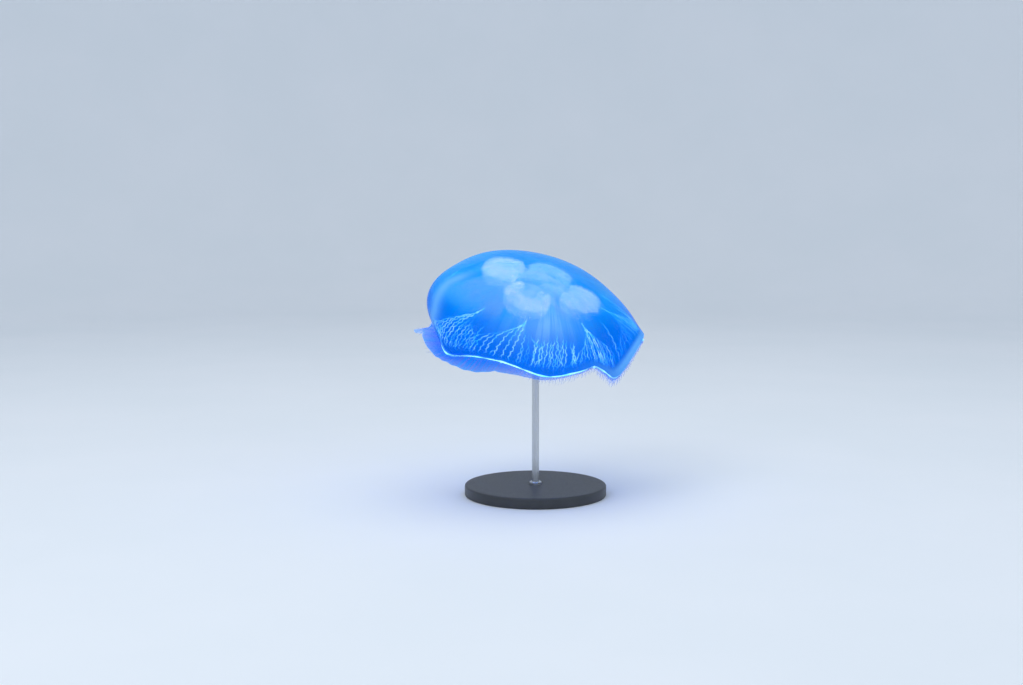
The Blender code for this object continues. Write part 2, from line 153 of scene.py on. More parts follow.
# ---- the camera and the room
AIM = (-0.0271, 0.0072, 0.1722)  # where the camera looks
AWAY, ABOVE = 1.6, 6.0  # its distance, and its angle over level
FLOOR_R, WALL_ROUND, WALL_H = 2.4, 1.2, 2.2  # the flat floor, the curve up to the wall and its height


# ---- measures of the bell
def wave(az, terms):
    return sum(c * np.cos(k * az) + s * np.sin(k * az) for k, (c, s) in enumerate(terms, 1))


def away(az, centre):
    """Angle round the bell from a place, either way."""
    return (az - radians(centre) + pi) % (2 * pi) - pi


def hump(az, centre, width):
    return np.exp(-(away(az, centre) / radians(width)) ** 2)


def plateau(az, centre, width):
    """As a hump, but flat on top."""
    return np.exp(-(away(az, centre) / radians(width)) ** 4)


def full_turn(count):
    """So many azimuths, evenly round."""
    return np.arange(count) * 2 * pi / count


def lappet_drop(az):
    """How far the margin hangs, in radii, by its lappets, their sag and the fold at the first notch."""
    scallop = LAPPET_DEPTH * np.abs(np.sin(4 * (az - radians(NOTCH_0)))) ** LAPPET_ROUND
    sag = sum(deep * hump(az, NOTCH_0 + 22.5 + 45 * k + skew, LAPPET_WIDTH)
              for k, (deep, skew) in enumerate(zip(LAPPET_SAG, LAPPET_SKEW)))
    return scallop + sag - FOLD * hump(az, NOTCH_0, FOLD_WIDTH)


def outer(s, az):
    """Points of the bell's upper surface, s from 0 at the top to 1 at the margin."""
    s, az = np.broadcast_arrays(np.asarray(s, float), np.asarray(az, float))
    tuck = hump(az, TUCK_AT, TUCK_WIDE)
    close = np.radians(CLOSE + wave(az, CLOSE_WAVES) + TUCK[0] * tuck)
    out = np.sin(s * close) / np.sin(close)
    up = (np.cos(s * close) - np.cos(close)) / (1 - np.cos(close))
    ride = wave(az, RIDE)
    reach = (1 + wave(az, SPREAD) - TUCK[1] * tuck) * out
    loose = np.maximum(0.0, (s - LOOSE_FROM) / (1 - LOOSE_FROM)) ** 2
    reach = reach - 0.5 * FOLD * hump(az, NOTCH_0, FOLD_WIDTH) * loose
    return BELL_R * np.stack((reach * np.cos(az) + TOP_SHIFT[0] * up,
                              reach * np.sin(az) + TOP_SHIFT[1] * up,
                              ride + (BELL_RISE - ride) * up - lappet_drop(az) * loose), -1)


def unit(v):
    return v / np.linalg.norm(v, axis=-1, keepdims=True)


def outward(s, az):
    """Unit normals of the upper surface."""
    s, az = np.broadcast_arrays(np.asarray(s, float), np.asarray(az, float))
    t = np.maximum(s, 0.03)
    down = outer(np.minimum(t + 0.004, 1.0), az) - outer(t - 0.004, az)
    along = outer(t, az + 0.004) - outer(t, az - 0.004)
    found = unit(np.cross(down, along))
    if (s < 0.02).any():
        found[s < 0.02] = unit(outward(0.03, full_turn(8)).sum(0))
    return found


def jelly(s):
    """Thickness of the jelly."""
    return JELLY_MARGIN + (JELLY_TOP * BELL_R - JELLY_MARGIN) * (1 - np.minimum(s, 1.0) ** 2) ** 1.5


def inner(s, az, below=0.0):
    """Points of the under surface, or below it."""
    s = np.asarray(s, float)
    return outer(s, az) - outward(s, az) * (jelly(s) + below)[..., None]


def shares_at(x, y, below=0.0):
    """The share and azimuth under which points at a place across lie, by closing in on them."""
    across = np.stack((np.full_like(x, 0.05), np.zeros_like(x)), -1)
    for _ in range(30):
        reach = np.linalg.norm(across, axis=-1)
        here = inner(reach, np.arctan2(across[..., 1], across[..., 0]), below)
        across = across + np.stack((x - here[..., 0], y - here[..., 1]), -1) / (1.35 * BELL_R)
        reach = np.linalg.norm(across, axis=-1, keepdims=True)
        across = np.where(reach > 0.95, across * 0.95 / reach, across)
    return np.linalg.norm(across, axis=-1), np.arctan2(across[..., 1], across[..., 0])


def ceiling(x, y, below=0.0):
    """Points under the bell at places across."""
    x, y = np.broadcast_arrays(np.asarray(x, float), np.asarray(y, float))
    return inner(*shares_at(x, y, below), below)


def organ_middle():
    low = inner(0.0, 0.0)
    return np.array((low[0] * ORGANS_LEAN, low[1] * ORGANS_LEAN, 0.0))


def mouth_top():
    middle = organ_middle()
    return ceiling(middle[0], middle[1], UNDER_JELLY)


def pose():
    """The animal's lean and place, with its mouth over the middle of the base."""
    lean = Matrix.Rotation(radians(LEAN_FRONT), 3, "X") @ Matrix.Rotation(radians(LEAN_RIGHT), 3, "Y")
    foot = Vector(mouth_top()) - Vector((0, 0, MOUTH_DROP + GAP))
    shift = lean @ foot
    return Matrix.Translation((-shift.x, -shift.y, HANG)) @ lean.to_4x4(), foot


POSE, FOOT = pose()


# ---- making pieces
def placed(name, data):
    """An object of this data, in the scene."""
    obj = bpy.data.objects.new(name, data)
    bpy.context.scene.collection.objects.link(obj)
    return obj


def piece(name, verts, faces, mats, attributes=None, slots=None, posed=True, smooth=True):
    """A mesh piece from points and faces, carried from the animal's frame to its pose if asked."""
    verts = np.asarray(verts, float)
    if posed:
        verts = verts @ np.array(POSE.to_3x3()).T + np.array(POSE.translation)
    mesh = bpy.data.meshes.new(name)
    mesh.from_pydata(verts.tolist(), [], faces)
    for mat in mats:
        mesh.materials.append(mat)
    if slots is not None:
        mesh.polygons.foreach_set("material_index", np.asarray(slots, np.int32))
    mesh.polygons.foreach_set("use_smooth", np.full(len(mesh.polygons), smooth))
    for key, values in (attributes or {}).items():
        values = np.asarray(values, np.float32)
        kind = "FLOAT_VECTOR" if values.ndim == 2 else "FLOAT"
        layer = mesh.attributes.new(key, kind, "POINT")
        layer.data.foreach_set("vector" if values.ndim == 2 else "value", values.ravel())
    mesh.update()
    obj = placed(name, mesh)
    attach(obj, "root")
    return obj


def grid_faces(rows, cols, round_rows=False, round_cols=True):
    """Quads of a grid of points, closed across its columns or rows where asked."""
    i, j = np.meshgrid(np.arange(rows if round_rows else rows - 1),
                       np.arange(cols if round_cols else cols - 1), indexing="ij")
    k, m = (i + 1) % rows, (j + 1) % cols
    quads = np.stack((i * cols + j, i * cols + m, k * cols + m, k * cols + j), -1)
    return quads.reshape(-1, 4).tolist()


def end_caps(rows, cols):
    """Faces that close a tube of points at its first and last row."""
    return [list(range(cols - 1, -1, -1)), list(range((rows - 1) * cols, rows * cols))]


def thread(path, radius, sides=6, closed=False):
    """Points and faces of a round thread along a path, with a radius at each point."""
    path = np.asarray(path, float)
    radius = np.broadcast_to(radius, len(path))
    if closed:
        ahead = unit(np.roll(path, -1, 0) - np.roll(path, 1, 0))
    else:
        ahead = unit(np.gradient(path, axis=0))
    side = np.cross(ahead[0], (0.3, 0.2, 0.9))
    frames = []
    for way in ahead:
        side = side - way * side.dot(way)
        side = side / np.linalg.norm(side)
        frames.append((side, np.cross(way, side)))
    frames = np.array(frames)
    turn = full_turn(sides)
    ring = (frames[:, None, 0] * np.cos(turn)[None, :, None]
            + frames[:, None, 1] * np.sin(turn)[None, :, None]) * radius[:, None, None]
    verts = (path[:, None] + ring).reshape(-1, 3)
    faces = grid_faces(len(path), sides, round_rows=closed)
    if not closed:
        faces += end_caps(len(path), sides)
    return verts, faces


class Joined:
    """Many small bodies gathered into one mesh."""

    def __init__(self):
        self.verts, self.faces, self.values, self.count = [], [], {}, 0

    def add(self, verts, faces, **values):
        self.faces += [[k + self.count for k in face] for face in faces]
        self.verts.append(verts)
        self.count += len(verts)
        for key, value in values.items():
            self.values.setdefault(key, []).append(np.broadcast_to(value, len(verts)))

    def make(self, name, mats):
        values = {key: np.concatenate(parts) for key, parts in self.values.items()}
        return piece(name, np.concatenate(self.verts), self.faces, mats, values)


# ---- finishes: small helpers
class Nodes:
    """A short way to lay shader nodes and join them."""

    def __init__(self, tree):
        self.tree = tree

    def add(self, kind, **inputs):
        node = self.tree.nodes.new("ShaderNode" + kind)
        for key, value in inputs.items():
            self.feed(node.inputs[key.replace("_", " ")], value)
        return node

    def feed(self, socket, value):
        if isinstance(value, bpy.types.NodeSocket):
            self.tree.links.new(value, socket)
        else:
            socket.default_value = value

    def math(self, operation, *values, clamp=False):
        node = self.tree.nodes.new("ShaderNodeMath")
        node.operation = operation
        node.use_clamp = clamp
        for socket, value in zip(node.inputs, values):
            self.feed(socket, value)
        return node.outputs[0]

    def between(self, value, low, high, to_low=0.0, to_high=1.0, smooth=True):
        """A value carried from one range to another, held at both ends."""
        node = self.add("MapRange")
        node.interpolation_type = "SMOOTHSTEP" if smooth else "LINEAR"
        node.clamp = True
        for key, part in (("Value", value), ("From Min", low), ("From Max", high),
                          ("To Min", to_low), ("To Max", to_high)):
            self.feed(node.inputs[key], part)
        return node.outputs["Result"]

    def mix(self, share, one, two):
        node = self.tree.nodes.new("ShaderNodeMix")
        node.data_type = "RGBA"
        for socket, value in zip((node.inputs[0], node.inputs[6], node.inputs[7]), (share, one, two)):
            if isinstance(value, tuple):
                value = (*value, 1.0)
            self.feed(socket, value)
        return node.outputs[2]

    def stored(self, name, kind="Fac"):
        """A value that the mesh holds at each point."""
        node = self.tree.nodes.new("ShaderNodeAttribute")
        node.attribute_name = name
        return node.outputs[kind]

    def here(self):
        return self.add("TexCoord").outputs["Object"]

    def stretched(self, place, stretch):
        """A place multiplied by three scales."""
        node = self.tree.nodes.new("ShaderNodeVectorMath")
        node.operation = "MULTIPLY"
        self.feed(node.inputs[0], place)
        self.feed(node.inputs[1], stretch)
        return node.outputs[0]

    def effect(self, group, **inputs):
        node = self.tree.nodes.new("ShaderNodeGroup")
        node.node_tree = group
        for key, value in inputs.items():
            self.feed(node.inputs[key.replace("_", " ")], value)
        return node

    def cloud(self, scale, low, high):
        return self.effect(CLOUDING, Place=self.here(), Scale=scale, Low=low, High=high).outputs["Mask"]

    def fibre(self, layout, across, along, low, high):
        return self.effect(FIBRES, Layout=layout, Across=across, Along=along,
                           Low=low, High=high).outputs["Mask"]

    def warts(self, scale, size):
        return self.effect(WARTS, Place=self.here(), Scale=scale, Size=size).outputs


def effect(name, inputs, outputs):
    """An empty shader group with named sockets, its node helper, its inputs and its outputs."""
    tree = bpy.data.node_groups.new(name, "ShaderNodeTree")
    kinds = {float: "NodeSocketFloat", tuple: "NodeSocketVector"}
    for key, value in inputs.items():
        socket = tree.interface.new_socket(key, in_out="INPUT", socket_type=kinds[type(value)])
        socket.default_value = value
    for key in outputs:
        tree.interface.new_socket(key, in_out="OUTPUT", socket_type="NodeSocketFloat")
    source = tree.nodes.new("NodeGroupInput")
    target = tree.nodes.new("NodeGroupOutput")
    return tree, Nodes(tree), source.outputs, target.inputs


def clouding():
    """Soft milky clouds: where the jelly is a little denser."""
    tree, n, given, out = effect("milky_clouding", {"Place": (0.0, 0.0, 0.0), "Scale": 40.0,
                                                    "Low": 0.35, "High": 0.65}, ["Mask"])
    noise = n.add("TexNoise", Vector=given["Place"], Scale=given["Scale"], Detail=3.0, Roughness=0.55)
    n.feed(out["Mask"], n.between(noise.outputs["Fac"], given["Low"], given["High"]))
    return tree


def fibres():
    """Fine fibres that run from the middle to the margin, or round it, by the two counts."""
    tree, n, given, out = effect("muscle_fibres", {"Layout": (0.0, 0.0, 0.0), "Across": 30.0,
                                                   "Along": 3.0, "Low": 0.4, "High": 0.62}, ["Mask"])
    spread = n.add("CombineXYZ", X=given["Across"], Y=given["Across"], Z=given["Along"])
    scaled = n.stretched(given["Layout"], spread.outputs[0])
    noise = n.add("TexNoise", Vector=scaled, Scale=1.0, Detail=4.0, Roughness=0.6)
    n.feed(out["Mask"], n.between(noise.outputs["Fac"], given["Low"], given["High"]))
    return tree


def warts():
    """Tiny raised dots, scattered unevenly, as stinging cells stand in clusters on the skin."""
    tree, n, given, out = effect("skin_warts", {"Place": (0.0, 0.0, 0.0), "Scale": 420.0,
                                                "Size": 0.33}, ["Mask", "Height"])
    cells = n.add("TexVoronoi", Vector=given["Place"], Scale=given["Scale"], Randomness=0.85)
    dots = n.between(cells.outputs["Distance"], given["Size"], 0.0)
    patch = n.add("TexNoise", Vector=given["Place"], Scale=90.0, Detail=2.0)
    n.feed(out["Height"], dots)
    n.feed(out["Mask"], n.math("MULTIPLY", dots, n.between(patch.outputs["Fac"], 0.42, 0.6)))
    return tree


def grain():
    """Fine even grain of a coat or a drawn metal, stretched by its three scales."""
    tree, n, given, out = effect("fine_grain", {"Place": (0.0, 0.0, 0.0),
                                                "Stretch": (1.0, 1.0, 1.0), "Scale": 900.0},
                                 ["Mask", "Height"])
    scaled = n.stretched(given["Place"], given["Stretch"])
    fine = n.add("TexNoise", Vector=scaled, Scale=given["Scale"], Detail=2.0)
    broad = n.add("TexNoise", Vector=scaled, Scale=n.math("MULTIPLY", given["Scale"], 0.08), Detail=3.0)
    n.feed(out["Height"], fine.outputs["Fac"])
    n.feed(out["Mask"], n.math("MULTIPLY", fine.outputs["Fac"], broad.outputs["Fac"]))
    return tree


CLOUDING, FIBRES, WARTS, GRAIN = clouding(), fibres(), warts(), grain()


def finish(name, **settings):
    """A new material: its node helper and its main shader, with plain settings on their own sockets."""
    mat = bpy.data.materials.new(name)
    mat.use_nodes = True
    mat.use_backface_culling = False
    n = Nodes(mat.node_tree)
    shader = mat.node_tree.nodes["Principled BSDF"]
    for key, value in settings.items():
        shader.inputs[key.replace("_", " ")].default_value = value
    return mat, n, shader


def tinted(n, shader, colour):
    """The same colour for what the surface scatters and for its glow, a painted glow, as if the tissue were
    lit from within.
    """
    n.feed(shader.inputs["Base Color"], colour)
    n.feed(shader.inputs["Emission Color"], colour)


def bumped(n, shader, height, strength, distance):
    bump = n.add("Bump", Strength=strength, Distance=distance, Height=height)
    n.feed(shader.inputs["Normal"], bump.outputs["Normal"])


# ---- the animal's finishes
AZURE = (0.000, 0.260, 0.920)
AZURE_LIGHT = (0.000, 0.330, 0.940)
AZURE_DEEP = (0.000, 0.190, 0.860)
SKY = (0.015, 0.420, 0.940)
LAVENDER = (0.130, 0.440, 1.000)
HAZE = (0.300, 0.660, 1.000)
HAZE_UNDER = (0.480, 0.820, 1.000)
MILK = (0.480, 0.720, 1.000)
ICE = (0.480, 0.880, 1.000)


def upper_skin():
    """The clear, wet upper skin of the bell, with its faint clouds, milky places and warts, and painted
    light: paler where it faces up, and a pale painted sheen streak down one shoulder.
    """
    mat, n, shader = finish("bell_upper_skin", Roughness=0.24, Specular_IOR_Level=0.03, IOR=1.34,
                            Emission_Strength=0.10)
    layout = n.stored("layout", "Vector")
    share = n.add("SeparateXYZ", Vector=layout).outputs["Z"]
    cloud = n.cloud(32.0, 0.35, 0.70)
    dots = n.warts(480.0, 0.40)
    streak = n.fibre(layout, 9.0, 1.2, 0.42, 0.70)
    rays = n.fibre(layout, 16.0, 1.0, 0.38, 0.62)
    haze = n.math("MULTIPLY", n.stored("milky_middle"), n.between(rays, 0.0, 1.0, 0.30, 0.62))
    # the shoulder mark read here is a painted sheen streak, not a real fold: it paints the skin pale
    # lavender and a little less clear
    fold, band = n.stored("painted_sheen_streak"), n.stored("milky_edge")
    colour = n.mix(cloud, AZURE, AZURE_LIGHT)
    colour = n.mix(n.between(share, 0.45, 0.90, 0.0, 0.9), colour, AZURE_DEEP)
    # painted light from above: where the skin faces up it is painted toward pale azure; the warts are their
    # own paler colour
    for cover, tint in ((n.math("MULTIPLY", n.stored("painted_top_light"), 0.8), SKY), (haze, HAZE),
                        (fold, LAVENDER), (band, LAVENDER), (n.math("MULTIPLY", dots["Mask"], 0.3), SKY)):
        colour = n.mix(cover, colour, tint)
    tinted(n, shader, colour)
    body = n.between(share, 0.30, 0.55, 0.66, 0.70)
    for cover, more in ((cloud, 0.06), (streak, 0.05), (band, 0.30), (fold, 0.20),
                        (n.stored("dense"), 0.13)):
        body = n.math("MULTIPLY_ADD", cover, more, body)
    n.feed(shader.inputs["Alpha"], n.math("MULTIPLY_ADD", dots["Mask"], 0.10, body, clamp=True))
    bumped(n, shader, dots["Height"], 0.12, 0.0002)
    return mat


def under_skin():
    """The under surface: a tint of azure with fine muscle fibres, clearer near the middle."""
    mat, n, shader = finish("bell_under_skin", Roughness=0.40, Specular_IOR_Level=0.10, IOR=1.34,
                            Emission_Strength=0.10)
    layout = n.stored("layout", "Vector")
    share = n.add("SeparateXYZ", Vector=layout).outputs["Z"]
    cloud = n.cloud(26.0, 0.35, 0.68)
    rays = n.fibre(layout, 34.0, 2.0, 0.45, 0.66)
    hoops = n.fibre(layout, 2.0, 150.0, 0.45, 0.70)
    haze = n.math("MULTIPLY", n.stored("milky_middle"), n.between(cloud, 0.0, 1.0, 0.75, 1.0))
    colour = n.mix(cloud, AZURE_DEEP, AZURE)
    colour = n.mix(n.math("MULTIPLY", rays, 0.35), colour, AZURE_LIGHT)
    colour = n.mix(n.math("MULTIPLY", hoops, 0.10), colour, SKY)
    tinted(n, shader, n.mix(haze, colour, HAZE_UNDER))
    body = n.between(share, 0.40, 0.64, 0.45, 0.96)
    body = n.math("MULTIPLY_ADD", haze, 0.35, body)
    n.feed(shader.inputs["Alpha"], n.math("MULTIPLY_ADD", rays, 0.08, body, clamp=True))
    bumped(n, shader, rays, 0.15, 0.0003)
    return mat


def canal_finish():
    """Pale threads of fluid, a little uneven in brightness."""
    # the threads give off a strong painted glow
    mat, n, shader = finish("canal_fluid", Roughness=0.35, Emission_Strength=1.9)
    glow = n.stored("glow")
    lit = n.math("MULTIPLY", n.cloud(120.0, 0.30, 0.62), glow)
    tinted(n, shader, n.mix(lit, (0.03, 0.46, 1.0), ICE))
    n.feed(shader.inputs["Alpha"], n.between(glow, 0.05, 0.7, 0.15, 1.0, smooth=False))
    return mat


def rim_finish():
    """The bright cord of the margin."""
    mat, n, shader = finish("margin_cord", Roughness=0.30, Emission_Strength=1.0)
    bright = n.mix(n.cloud(60.0, 0.30, 0.60), (0.12, 0.62, 1.0), (0.36, 0.86, 1.0))
    tinted(n, shader, n.mix(n.stored("glow"), (0.10, 0.30, 0.72), bright))
    return mat


def gonad_finish():
    """Milky folded tissue, with painted shade in the hollows of its ruffles, so whiter on its crests."""
    mat, n, shader = finish("gonad_tissue", Roughness=0.42, Emission_Strength=0.75,
                            Subsurface_Weight=0.35, Subsurface_Scale=0.004)
    cloud = n.math("MULTIPLY", n.cloud(130.0, 0.35, 0.65), 0.7)
    # painted shade: the hollows between the ruffles' crests are painted darker and bluer
    painted_hollow_shade = n.between(n.stored("crest"), 0.0, 1.0, 0.35, 0.0)
    colour = n.mix(painted_hollow_shade, n.mix(cloud, (0.84, 0.76, 1.0), (1.0, 0.90, 1.0)), (0.50, 0.60, 1.0))
    tinted(n, shader, n.mix(n.stored("glow"), (0.16, 0.46, 1.0), colour))
    bumped(n, shader, n.warts(900.0, 0.5)["Height"], 0.25, 0.0002)
    return mat


def pouch_finish():
    """Veil of the stomach's pouches and the gonads' sheaths, which fades out at its edge."""
    mat, n, shader = finish("pouch_veil", Roughness=0.5, Specular_IOR_Level=0.1, Emission_Strength=0.6)
    cloud = n.cloud(70.0, 0.25, 0.70)
    tinted(n, shader, n.mix(cloud, (0.62, 0.70, 1.0), (0.84, 0.86, 1.0)))
    cover = n.math("MULTIPLY", n.stored("cover"), n.between(cloud, 0.0, 1.0, 0.66, 0.90))
    n.feed(shader.inputs["Alpha"], cover)
    return mat


def arm_finish(name="arm_tissue"):
    """Soft frilled tissue, denser in its keel and along its frilled edge."""
    mat, n, shader = finish(name, Roughness=0.40, Emission_Strength=0.4)
    edge, cloud = n.stored("edge"), n.cloud(110.0, 0.35, 0.65)
    colour = n.mix(cloud, (0.04, 0.38, 1.0), (0.16, 0.54, 1.0))
    tinted(n, shader, n.mix(n.between(edge, 0.72, 1.0, 0.0, 0.7), colour, (0.46, 0.80, 1.0)))
    body = n.math("ADD", n.between(edge, 0.7, 1.0, 0.60, 0.92), n.between(edge, 0.0, 0.25, 0.35, 0.0))
    n.feed(shader.inputs["Alpha"], n.math("MULTIPLY_ADD", cloud, 0.1, body, clamp=True))
    bumped(n, shader, n.warts(700.0, 0.5)["Height"], 0.2, 0.0002)
    return mat


def tentacle_finish():
    """Fine threads that clear towards their tips, beaded with stinging cells."""
    mat, n, shader = finish("tentacle_thread", Roughness=0.38, Specular_IOR_Level=0.2,
                            Emission_Strength=0.25)
    along = n.stored("along")
    colour = n.mix(n.between(along, 0.0, 1.0), (0.04, 0.34, 1.0), (0.01, 0.24, 1.0))
    beads = n.math("MULTIPLY", n.warts(1500.0, 0.5)["Height"], 0.5)
    tinted(n, shader, n.mix(beads, colour, MILK))
    thin = n.between(along, 0.0, 1.0, 0.55, 0.22, smooth=False)
    n.feed(shader.inputs["Alpha"], n.math("MULTIPLY", thin, n.stored("clear")))
    return mat


def bulb_finish():
    """The sense bulbs in the notches."""
    mat, n, shader = finish("sense_bulb", Roughness=0.3, Emission_Strength=0.55)
    tinted(n, shader, n.mix(n.warts(1400.0, 0.6)["Height"], (0.20, 0.60, 1.0), (0.60, 0.90, 1.0)))
    return mat


def veil_finish():
    """The thin clear flap of the margin from which the tentacles spring, with a painted highlight along its
    free edge.
    """
    mat, n, shader = finish("margin_veil", Roughness=0.3, Specular_IOR_Level=0.15, Emission_Strength=0.8)
    along, milk = n.stored("along"), n.stored("milky_edge")
    rays = n.fibre(n.stored("layout", "Vector"), 60.0, 1.0, 0.42, 0.68)
    colour = n.mix(rays, (0.0, 0.16, 0.84), (0.0, 0.30, 0.94))
    # painted highlight: a thin paler line along the flap's free edge
    colour = n.mix(n.between(along, 0.86, 1.0, 0.0, 0.6), colour, (0.06, 0.44, 0.98))
    n.feed(shader.inputs["Base Color"], n.mix(milk, colour, (0.45, 0.70, 1.0)))
    # painted glow: the flap gives off light, more where it is milky
    n.feed(shader.inputs["Emission Color"], n.mix(milk, (0.0, 0.03, 0.20), (0.20, 0.34, 0.55)))
    body = n.math("MULTIPLY_ADD", rays, 0.15, n.stored("cover"))
    n.feed(shader.inputs["Alpha"], n.math("MULTIPLY", body, n.between(along, 0.3, 1.0, 1.0, 0.86)))
    return mat


# ---- the stand's finishes
def steel_finish():
    """Satin steel, drawn along its length."""
    mat, n, shader = finish("stand_steel", Metallic=1.0)
    drawn = n.effect(GRAIN, Place=n.here(), Stretch=(1.0, 1.0, 0.02), Scale=1600.0)
    bright = n.mix(drawn.outputs["Mask"], (0.50, 0.52, 0.55), (0.72, 0.74, 0.77))
    n.feed(shader.inputs["Base Color"], bright)
    n.feed(shader.inputs["Roughness"], n.between(drawn.outputs["Height"], 0.3, 0.7, 0.24, 0.42))
    bumped(n, shader, drawn.outputs["Height"], 0.08, 0.0001)
    return mat


def coat_finish():
    """Charcoal powder coat with its fine orange-peel grain."""
    mat, n, shader = finish("stand_powder_coat", Specular_IOR_Level=0.45)
    coat = n.effect(GRAIN, Place=n.here(), Stretch=(1.0, 1.0, 1.0), Scale=1100.0)
    charcoal = n.mix(coat.outputs["Mask"], (0.030, 0.033, 0.038), (0.070, 0.074, 0.082))
    n.feed(shader.inputs["Base Color"], charcoal)
    n.feed(shader.inputs["Roughness"], n.between(coat.outputs["Height"], 0.3, 0.7, 0.36, 0.52))
    bumped(n, shader, coat.outputs["Height"], 0.35, 0.00015)
    return mat


# ---- the bell
def ramp(value, low, high):
    """A value from 0 at low to 1 at high, held at both."""
    return np.clip((value - low) / (high - low), 0, 1)


def skin_marks(down, turns):
    """Where the skin is milky, dense, painted with a sheen streak, or painted paler where it faces up as if
    lit from above, for rows down and azimuths round.
    """
    course = np.radians(np.interp(down, SHEEN_DOWN, SHEEN_ROUND))
    aside = (turns - course + pi) % (2 * pi) - pi
    # a painted sheen streak: a soft pale band of painted highlight down one shoulder, where the skin has no
    # fold
    fold = np.exp(-(aside / radians(SHEEN_SOFT)) ** 2) * ramp(down, 0.30, 0.42) * ramp(-down, -0.96, -0.80)
    # painted top light: how far the skin faces up once posed, for paler colour painted where light from
    # above would fall
    high = unit(outward(down, turns)) @ np.array(POSE.to_3x3())[2]
    marks = {"milky_edge": ramp(down, *EDGE_DOWN) * hump(turns, *EDGE_ROUND),
             "milky_middle": np.exp(-((down - MILK_DOWN[0]) / MILK_DOWN[1]) ** 2) * hump(turns, *MILK_ROUND),
             "dense": ramp(down, *DENSE_DOWN) * plateau(turns, *DENSE_ROUND),
             "painted_sheen_streak": fold, "painted_top_light": ramp(high, 0.45, 0.95)}
    marks = {key: np.append(value.ravel(), (0.0, 0.0)) for key, value in marks.items()}
    # the top point gets the full painted top light
    marks["painted_top_light"][-2] = 1.0
    return marks


def bell_skin():
    """One closed skin over and under the jelly, in place of the crown and the eight lappets."""
    turns = full_turn(SKIN_ROUND) + radians(NOTCH_0)
    shares = np.linspace(0, 1, SKIN_DOWN + 1)[1:, None]
    over, under = outer(shares, turns), inner(shares, turns)
    lip_out = unit(over[-1] - over[-2])
    lips = [over[-1] * (1 - k) + under[-1] * k + lip_out * 0.45 * JELLY_MARGIN * sin(pi * k)
            for k in (0.25, 0.5, 0.75)]
    rings = np.concatenate((over, np.stack(lips), under[::-1]))
    down = np.concatenate((shares, np.ones((3, 1)), shares[::-1]))
    layout = np.stack(np.broadcast_arrays(np.cos(turns)[None], np.sin(turns)[None], down), -1)
    verts = np.concatenate((rings.reshape(-1, 3), outer(0.0, 0.0)[None], inner(0.0, 0.0)[None]))
    layout = np.concatenate((layout.reshape(-1, 3), np.zeros((2, 3))))
    count = len(rings)
    faces = grid_faces(count, SKIN_ROUND)
    slots = [0 if row < SKIN_DOWN + 1 else 1 for row in range(count - 1) for _ in range(SKIN_ROUND)]
    top, low, last = len(verts) - 2, len(verts) - 1, (count - 1) * SKIN_ROUND
    for j in range(SKIN_ROUND):
        k = (j + 1) % SKIN_ROUND
        faces += [[top, k, j], [low, last + j, last + k]]
        slots += [0, 1]
    faces = [face[::-1] for face in faces]
    skin = piece("bell_skin", verts, faces, [upper_skin(), under_skin()],
                 {"layout": layout, **skin_marks(down, turns)}, slots)
    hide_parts("bell_crown", *(f"bell_lappet_{k}" for k in range(1, 9)))


# ---- the canals: each path is its shares, its azimuths and its fullness
def canal_path(rng, start, end, glow, sway=CANAL_SWAY, from_above=False):
    """A wavering line between two places given as share and azimuth, quick to draw level with the end.

    It is full at once if it comes from above, and otherwise fills on its way down.
    """
    (s0, a0), (s1, a1) = start, end
    long = max(abs(s1 - s0), 0.02)
    u = np.linspace(0, 1, max(6, int(long / CANAL_STEP)))
    waves = sum(size * rng.uniform(0.6, 1.0) * np.sin(2 * pi * count * long * u + rng.uniform(0, 6.28))
                for size, count in ((0.8, 9.0), (1.0, 19.0), (0.35, 37.0)))
    ease = (1 - np.exp(-CANAL_HASTE * u)) / (1 - np.exp(-CANAL_HASTE))
    az = a0 + (a1 - a0) * ease + sway * waves * np.clip(u * 6, 0, 1)
    s = s0 + (s1 - s0) * u
    filled = np.clip((s - CANAL_FILLS[0]) / CANAL_FILLS[1], 0.08, 1) * np.clip(u / 0.3, 0.15, 1)
    return s, az, glow * (np.ones_like(s) if from_above else filled)


def canal_fan(rng, root, centre, spread, count, strong):
    """One canal from its root to the margin, and those that leave it one by one to either side.

    The first few on the strong side, 1 or -1, are as full as their trunk.
    """
    trunk = canal_path(rng, (root, centre), (CANAL_END, centre), 1.0, from_above=strong != 0)
    paths = [trunk]
    step = radians(spread) / count
    for side in (-1, 1):
        parent, fork = trunk, root
        for k in range(1, count + 1):
            fork = fork + rng.uniform(*CANAL_FORK)
            a0 = np.interp(fork, parent[0], parent[1])
            goal = centre + side * step * (k + rng.uniform(-0.3, 0.3))
            stop = CANAL_END - rng.uniform(0.0, 0.02)
            first = side == strong and k < 4
            glow = rng.uniform(0.75, 1.0) if first else rng.uniform(0.35, 0.95) * (1 - 0.02 * k)
            child = canal_path(rng, (fork, a0), (stop, goal), glow, from_above=first)
            paths.append(child)
            if rng.random() < CANAL_SPLIT:
                late = rng.uniform(max(fork + 0.08, 0.76), 0.90)
                beside = goal + side * step * rng.uniform(0.35, 0.55)
                a1 = np.interp(late, child[0], child[1])
                paths.append(canal_path(rng, (late, a1), (stop, beside), glow * 0.8, CANAL_SWAY * 0.7))
            parent = child
    return paths


def placed_fan(k, rng):
    """The fan of one eighth of the bell, turned, stretched and filled as it is there."""
    centre, root = radians(TURN + 45 * k), CANAL_ROOT[k]
    fan = canal_fan(rng, root, centre, CANAL_SPREAD[k], CANAL_SIDE[k], CANAL_STRONG[k])
    longer = (CANAL_LAST[k] - root) / (CANAL_END - root)
    fan = [(root + (s - root) * longer,
            az + np.radians(np.interp(s, (0.5, CANAL_END), CANAL_TURN[k])),
            glow * CANAL_FULL[k]) for s, az, glow in fan]
    between = centre + radians(22.5 + 0.3 * CANAL_TURN[k][1])
    return fan + [canal_path(rng, (0.62, between), (CANAL_END, between), 0.6)]


